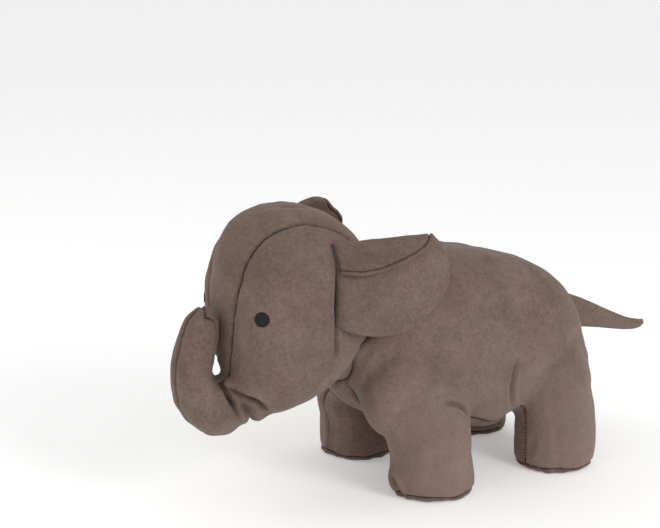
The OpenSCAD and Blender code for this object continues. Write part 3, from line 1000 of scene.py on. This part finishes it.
# The ear is sewn down this far from its root, this deep, and lies this far clear of the head beyond
EAR_SEWN_RUN = 7.0
EAR_SEWN_DEPTH = 0.6
EAR_CLEAR = 0.5
EAR_STEPS = 72
EAR_STRIP_STEPS = 120
EAR_LOW_EDGE = [
    (0, 0), (0.1, 0.085), (0.2, 0.135), (0.32, 0.175), (0.42, 0.185), (0.54, 0.175), (0.65, 0.13),
    (0.76, 0.05), (0.85, -0.05), (0.92, -0.145), (0.965, -0.22), (1, -0.36),
]
EAR_HIGH_EDGE = [
    (0, 1.015), (0.15, 1.07), (0.3, 1.08), (0.42, 1.04), (0.535, 0.995), (0.65, 0.945), (0.74, 0.896),
    (0.82, 0.825), (0.87, 0.765), (0.92, 0.71), (0.965, 0.63), (1, 0.42),
]
RIGHT_EAR_HIGH_EDGE = [
    (0, 1.0), (0.2, 1.02), (0.36, 1.013), (0.45, 1.05), (0.56, 1.037), (0.66, 0.96), (0.78, 0.81),
    (0.9, 0.71), (0.96, 0.62), (1, 0.46),
]
EAR_FOLD = [(0, 47), (0.12, 48.5), (0.27, 50), (0.5, 49.8), (0.8, 49.3), (1, 49)]
RIGHT_EAR_FOLD = [
    (0, 47.5), (0.2, 49), (0.36, 52.5), (0.45, 56.8), (0.56, 58.8), (0.66, 57.4), (0.78, 53), (0.9, 47),
    (1, 40),
]


def smooth_table(x, table):
    """A smooth curve through a table, with the slope at each entry taken from its neighbours."""
    xs, ys = np.array(table, float).T
    slopes = np.gradient(ys, xs)
    k = np.clip(np.searchsorted(xs, x, side="right") - 1, 0, len(xs) - 2)
    width = xs[k + 1] - xs[k]
    t = (x - xs[k]) / width
    return (
        ys[k] * (1 + 2 * t) * (1 - t) ** 2 + slopes[k] * width * t * (1 - t) ** 2
        + ys[k + 1] * t * t * (3 - 2 * t) + slopes[k + 1] * width * t * t * (t - 1)
    )


def root_side(share):
    """How far out the ear's root runs, at a share of its height."""
    return EAR_FOOT[1] + EAR_LEAN[1] * share ** 3


def ear_place(run, high, fold, layer):
    """A point of the left ear from its place on the flat cloth."""
    past = high - fold
    turn = np.clip(past / EAR_FOLD_RADIUS, 0, math.pi)
    down = np.maximum(past - math.pi * EAR_FOLD_RADIUS, 0)
    up = np.where(past <= 0, high, fold + EAR_FOLD_RADIUS * np.sin(turn) - down)
    opened = EAR_FOLD_PRESSED + (1 - EAR_FOLD_PRESSED) * ease(run / 12.0)
    out = np.where(past <= 0, 0, opened * (EAR_FOLD_RADIUS * (1 - np.cos(turn)) + 0.2 * down))
    share = np.clip(up / EAR_ROOT_HEIGHT, 0, 1.2)
    bulge = EAR_BULGE[0] + EAR_BULGE[1] * share
    swing = bulge * np.sin(math.pi / 2 * np.minimum(run / EAR_BULGE_RUN, 1))
    return np.stack([
        EAR_FOOT[0] + EAR_LEAN[0] * share - run,
        root_side(share) + swing + out + layer * np.cos(turn),
        EAR_FOOT[2] + up - layer * np.sin(turn),
    ], -1)


def ear_skin(left, head_tree):
    """One ear as a closed skin, with each point's distance to the edge, layer and run from the root,
    and the outline of the flat cloth."""
    run_max = EAR_FOOT[0] - box_mm("ear_left_outer")[0][0] + FEET_X
    n, m = EAR_STEPS + 1, EAR_STRIP_STEPS + 1
    along = np.sin(np.linspace(0, math.pi / 2, n))
    strip = 0.5 - 0.5 * np.cos(np.linspace(0, math.pi, m))
    low = -EAR_ROOT_HEIGHT * smooth_table(along, EAR_LOW_EDGE)
    high = EAR_CUT_HEIGHT * smooth_table(along, EAR_HIGH_EDGE if left else RIGHT_EAR_HIGH_EDGE)
    fold = smooth_table(along, EAR_FOLD if left else RIGHT_EAR_FOLD)
    run = np.repeat(along * run_max, m)
    height = (low[:, None] + (high - low)[:, None] * strip[None, :]).ravel()
    folds = np.repeat(fold, m)
    flat = np.stack([run, height, np.zeros_like(run)], 1)
    outline = np.concatenate([
        np.stack([along * run_max, low], 1), np.stack([along * run_max, high], 1)[::-1]
    ])
    edge, _ = distance_to_line(flat, np.column_stack([outline, np.zeros(len(outline))]))
    roll = np.clip(edge / EAR_ROLL, 0, 1)
    half = EAR_HALF * np.sqrt(1 - (1 - roll) ** 2)
    half = half + 0.25 * ease(edge / 14.0)
    hem = EAR_HEM_DEPTH * bell(edge - EAR_HEM, EAR_HEM_HALF)
    sag = 0.7 * value_noise(flat, 26.0, 11 if left else 12) + 0.25 * value_noise(flat, 9.0, 13)
    sag = sag * ease(run / 16.0)
    layers = [ear_place(run, height, folds, layer) for layer in (half + sag, -half + hem + sag)]
    index = np.arange(n * m).reshape(n, m)
    back = index + n * m
    # The two layers share their points round the edge
    back[:, 0], back[:, -1], back[-1, :] = index[:, 0], index[:, -1], index[-1, :]
    quads = []
    for grid, way in ((index, -1), (back, 1)):
        corners = [grid[:-1, :-1], grid[1:, :-1], grid[1:, 1:], grid[:-1, 1:]]
        quads.append(np.stack(corners[::way], -1).reshape(-1, 4))
    quads.append(np.stack([back[0, :-1], back[0, 1:], index[0, 1:], index[0, :-1]], -1))
    quads = np.concatenate(quads)
    co = np.concatenate(layers)
    keys = np.concatenate([np.column_stack([edge, np.full(len(edge), float(k)), run]) for k in (0, 1)])
    used, loops = np.unique(quads.ravel(), return_inverse=True)
    co, keys = co[used], keys[used]

    # The root is sewn to the cheek, and the ear lies clear of the head behind it
    for p, key in zip(co, keys):
        hit = head_tree.ray_cast(Vector((p[0], 120.0, p[2])), Vector((0.0, -1.0, 0.0)), 200.0)
        if hit[0] is None:
            continue
        surface = hit[0].y
        free = ease(key[2] / EAR_SEWN_RUN)
        root = root_side(np.clip((p[2] - EAR_FOOT[2]) / EAR_ROOT_HEIGHT, 0, 1.2))
        p[1] += (1 - free) * (surface - EAR_SEWN_DEPTH - root)
        clear = surface + EAR_CLEAR * free + (0 if key[1] > 0.5 else 2 * EAR_HALF * free)
        p[1] = max(p[1], clear)
    if not left:
        co[:, 1] = -co[:, 1]
    skin = Skin(co, loops if left else loops.reshape(-1, 4)[:, ::-1].ravel(), np.full(len(quads), 4))
    return skin, keys, outline


def ear_pattern(keys):
    return ((keys[:, 1] > 0.5) & (keys[:, 0] > EAR_HEM)).astype(int)


head_tree = BVHTree.FromPolygons(body.co.tolist(), body.faces())
for side in ("left", "right"):
    ear, keys, outline = ear_skin(side == "left", head_tree)
    ear, ear_label, keys = cut_by_pattern(ear, ear_pattern, keys)
    on_hem = seam_points(ear, ear_label)
    for k, layer in enumerate(("outer", "lining")):
        node = f"ear_{side}_{layer}"
        panel, used = panel_of(ear, ear_label == k)
        panel.co = drawn_in(panel, on_hem[used], EAR_LIP_GAP)
        # Painted shade: a dark line along the hem of the lining and along the ear's root
        hem_shade = bell(keys[used, 0] - EAR_HEM, 0.45) * keys[used, 1]
        root_shade = bell(keys[used, 2], 1.2)
        obj = make_object(node + "_fabric", panel, suede_ear, np.clip(0.65 * hem_shade + 0.5 * root_shade, 0, 1))
        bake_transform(obj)
        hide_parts(node)

# --- Eyes: a round of satin stitches worked through the fabric ---
EYE_RADIUS = 4.9
EYE_ROWS = 15
EYE_STEPS_ALONG = 26
EYE_STEPS_ACROSS = 8
EYE_RISE = 0.75
EYE_THREAD_RISE = 0.32
# Each row overlaps the next, is a little too long or short, and leans a little
EYE_OVERLAP = 1.12
EYE_RAGGED = 0.06
EYE_LEAN = 0.05
EYE_BACKING = 0.4


def eye_skin(node):
    """Threads laid side by side across a disc. Each is a raised strip that dives in at both ends."""
    spot = middle(node) - FEET
    toward = Vector((0.12, -1.0 if spot[1] > 0 else 1.0, 0.0)).normalized()
    place, surface_normal, _, _ = head_tree.ray_cast(Vector(spot) - toward * 30, toward, 60.0)
    up = np.array(surface_normal)
    ahead = unit(np.cross(up, [0.0, 0.0, 1.0]))
    high = np.cross(ahead, up)
    co, quads = [], []
    for row in range(EYE_ROWS):
        offset = (row + 0.5) / EYE_ROWS * 2 - 1
        reach = math.sqrt(1 - offset ** 2) + EYE_RAGGED * lattice(row, 3, int(spot[1] > 0), 5)
        tilt = EYE_LEAN * (lattice(row, 1, 2, 7) - 0.5)
        first = len(co)
        for a in range(EYE_STEPS_ALONG + 1):
            t = a / EYE_STEPS_ALONG * 2 - 1
            for b in range(EYE_STEPS_ACROSS + 1):
                q = b / EYE_STEPS_ACROSS * 2 - 1
                u = EYE_RADIUS * (offset + EYE_OVERLAP * q / EYE_ROWS + tilt * t)
                v = EYE_RADIUS * reach * t
                start = Vector(np.array(place) + ahead * u + high * v + up * 8.0)
                hit = head_tree.ray_cast(start, Vector(-up), 30.0)
                base = np.array(hit[0] or place)
                dome = EYE_RISE * max(0.0, 1 - offset ** 2) ** 0.5 * max(0.0, 1 - abs(t) ** 3) ** 0.5
                strand = EYE_THREAD_RISE * math.sqrt(max(0.0, 1 - q * q)) * max(0.0, 1 - t ** 8)
                sink = 0.35 * (abs(t) ** 10 + (0.5 if abs(q) == 1 else 0.0))
                co.append(base + up * (dome + strand - sink))
        quads += grid_quads(first, EYE_STEPS_ALONG + 1, EYE_STEPS_ACROSS + 1)
    return Skin(np.array(co), np.array(quads)[:, ::-1].ravel(), np.full(len(quads), 4))


for side in ("left", "right"):
    node = f"eye_{side}"
    eye = make_object(node + "_stitches", eye_skin(node), eye_thread)
    thicken(eye, EYE_BACKING)
    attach(eye, "head")
    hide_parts(node)

# --- Hand stitches that close the body where it was stuffed ---
STITCH_GAP = 2.4
STITCH_LENGTH = 1.8
STITCH_RADIUS = 0.25
STITCH_SIDES = 8
STITCH_RINGS = 7
# How high the middle of a stitch stands, how deep its ends go in, and how much it slants
STITCH_RISE = 1.3
STITCH_SINK = 0.25
STITCH_SLANT = 0.45
HAND_SEAM = [
    (-14.5, 50.5, 46.2), (-21.4, 41.2, 44), (-24.2, 40.3, 35.6), (-24.2, 44.7, 24.5), (-26.3, 55.3, 6),
]


def stitch_skin(line):
    """Slanting stitches along the seam that the line follows."""
    seam = body.co[on_seam]
    tree = tree_of(seam)
    spots = [tree.find(p)[1] for p in fine_line(line, 24)]
    path = seam[spots]
    up_at = body.normals()[on_seam][spots]
    along = np.concatenate([[0], np.cumsum(np.linalg.norm(np.diff(path, axis=0), axis=1))])
    parts = []
    for n in range(int(along[-1] / STITCH_GAP)):
        k = min(int(np.searchsorted(along, (n + 0.5) * STITCH_GAP)), len(path) - 2)
        way = path[min(k + 3, len(path) - 1)] - path[max(k - 3, 0)]
        if np.linalg.norm(way) < 1e-6:
            continue
        up = unit(up_at[k])
        way = unit(way - up * np.dot(way, up))
        lean = unit(np.cross(up, way) + way * (STITCH_SLANT + 0.3 * lattice(n, 5, 9, 4)))
        beside = np.cross(up, lean)
        co = []
        for t in np.linspace(-1, 1, STITCH_RINGS):
            rise = STITCH_RISE * (1 - t * t) - STITCH_SINK
            centre = path[k] + lean * t * STITCH_LENGTH / 2 + up * rise
            thick = STITCH_RADIUS * math.sqrt(max(0.12, 1 - t ** 6))
            for b in range(STITCH_SIDES):
                turn = 2 * math.pi * b / STITCH_SIDES
                co.append(centre + thick * (beside * math.cos(turn) + up * math.sin(turn)))
        quads = grid_quads(0, STITCH_RINGS, STITCH_SIDES, wraps=True)
        caps = [*range(STITCH_SIDES)][::-1] + [*range(len(co) - STITCH_SIDES, len(co))]
        counts = [4] * len(quads) + [STITCH_SIDES] * 2
        parts.append(Skin(np.array(co), np.array([*itertools.chain(*quads)] + caps), counts))
    return merged(*parts)


for side, sign in (("left", 1), ("right", -1)):
    line = [(x, y * sign, z) for x, y, z in HAND_SEAM]
    stitches = make_object(f"hand_stitches_{side}", stitch_skin(line), seam_thread)
    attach(stitches, "torso")

# --- Studio ---
bpy.ops.mesh.primitive_plane_add(size=80.0, location=(0, 0, 0))
floor = bpy.context.object
floor.name = "floor"
paper = Weaver("floor_paper")
# The paper glows a little, so that the ground stays as pale as in the photo
set_inputs(
    paper.shader, Base_Color=(0.92, 0.92, 0.92, 1.0), Roughness=0.9, Specular_IOR_Level=0.1,
    Emission_Color=(1.0, 1.0, 1.0, 1.0), Emission_Strength=0.25,
)
floor.data.materials.append(paper.material)

SKY_STOPS = ((0.15, 0.95), (1.0, 0.52))
SKY_STRENGTH = 0.975
world = bpy.data.worlds.new("studio")
bpy.context.scene.world = world
world.use_nodes = True
# The room is brightest low down, as under a wide soft light beside a pale wall
nodes = world.node_tree.nodes
height = nodes.new("ShaderNodeSeparateXYZ")
set_inputs(height, Vector=nodes.new("ShaderNodeTexCoord").outputs["Generated"])
sky_shade = nodes.new("ShaderNodeValToRGB")
set_inputs(sky_shade, Fac=height.outputs["Z"])
for element, (at, grey) in zip(sky_shade.color_ramp.elements, SKY_STOPS):
    element.position = at
    element.color = (grey, grey, grey, 1.0)
set_inputs(nodes["Background"], Color=sky_shade.outputs["Color"], Strength=SKY_STRENGTH)


def lamp(name, place, target, size, power):
    data = bpy.data.lights.new(name, "AREA")
    data.shape = "DISK"
    data.size = size
    data.energy = power
    obj = placed(name, data)
    obj.location = place
    obj.rotation_euler = (Vector(target) - Vector(place)).to_track_quat("-Z", "Y").to_euler()


lamp("key", (-0.35, 1.75, 0.95), (-0.03, 0, 0.04), 0.8, 14.2)
lamp("fill", (1.2, -0.8, 1.2), (0, 0, 0.08), 1.0, 4.2)

CAMERA_TARGET = Vector((0.0844, 0.0, 0.1537))
CAMERA_TURN = math.radians(32.12)
CAMERA_RISE = math.radians(12.43)
CAMERA_DISTANCE = 1.020
back = Vector((
    math.sin(CAMERA_TURN) * math.cos(CAMERA_RISE),
    math.cos(CAMERA_TURN) * math.cos(CAMERA_RISE),
    math.sin(CAMERA_RISE),
))
camera_data = bpy.data.cameras.new("camera")
camera_data.lens = 83.78
camera_data.sensor_width = 36.0
camera = placed("camera", camera_data)
camera.location = CAMERA_TARGET + back * CAMERA_DISTANCE
camera.rotation_euler = (-back).to_track_quat("-Z", "Y").to_euler()
bpy.context.scene.camera = camera
bpy.context.scene.view_settings.view_transform = "Standard"
